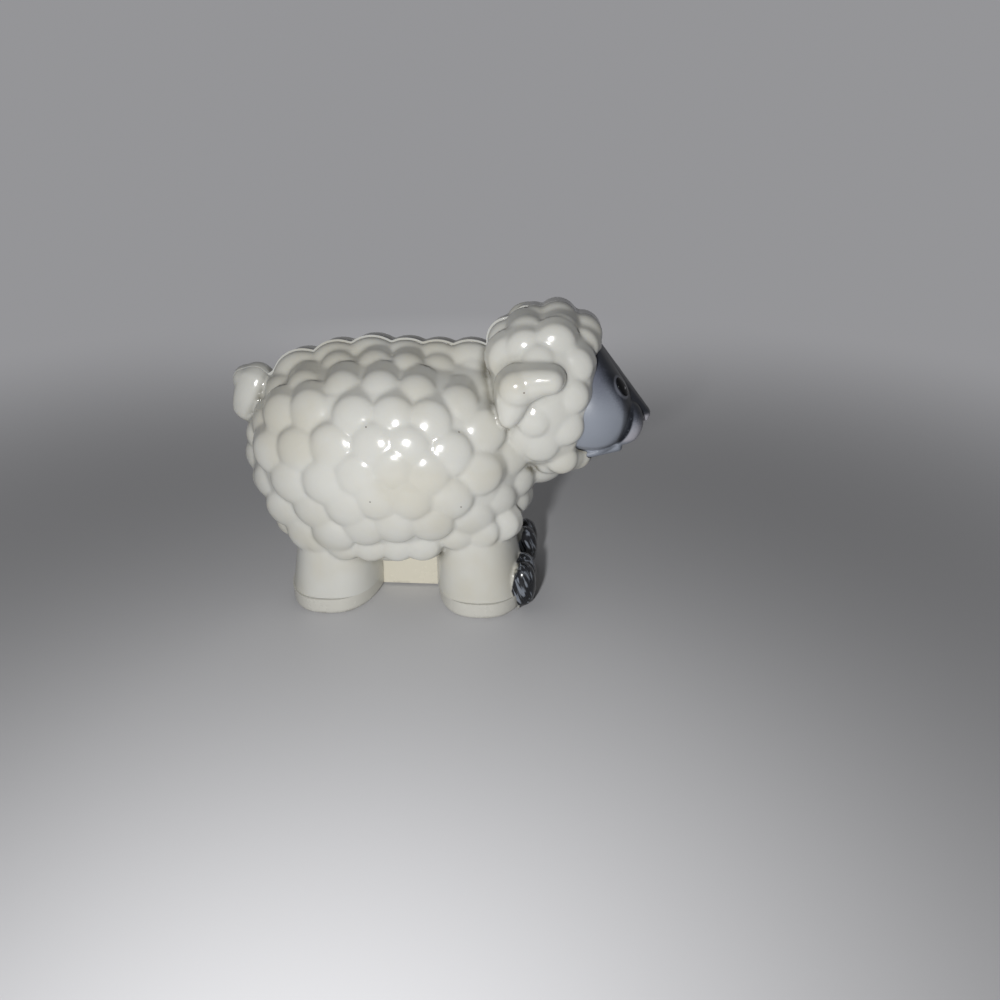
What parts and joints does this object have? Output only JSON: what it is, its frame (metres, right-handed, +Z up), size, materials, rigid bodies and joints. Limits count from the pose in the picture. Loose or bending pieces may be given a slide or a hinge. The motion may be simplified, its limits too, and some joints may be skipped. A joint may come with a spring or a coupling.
{
  "type": "toy animal figure",
  "caption": "Moulded toy sheep that stands on thick legs: hollow wool shells split along its length, a face let into the head opening, and a base cap under its feet.",
  "frame": {"origin": "on the ground under the middle of the animal's box", "axes": "+X towards the nose, +Y towards the animal's left side, +Z up"},
  "size_m": [0.0792, 0.0398, 0.0577],
  "materials": {
    "wool_plastic": "glossy off-white moulded plastic",
    "face_plastic": "satin blue-grey moulded plastic with sprayed shading",
    "base_plastic": "semi-gloss cream moulded plastic"
  },
  "bodies": {
    "root": {"body_shell_right": "wool_plastic", "body_shell_left": "wool_plastic", "face_insert": "face_plastic", "base_cap": "base_plastic"}
  },
  "joints": []
}
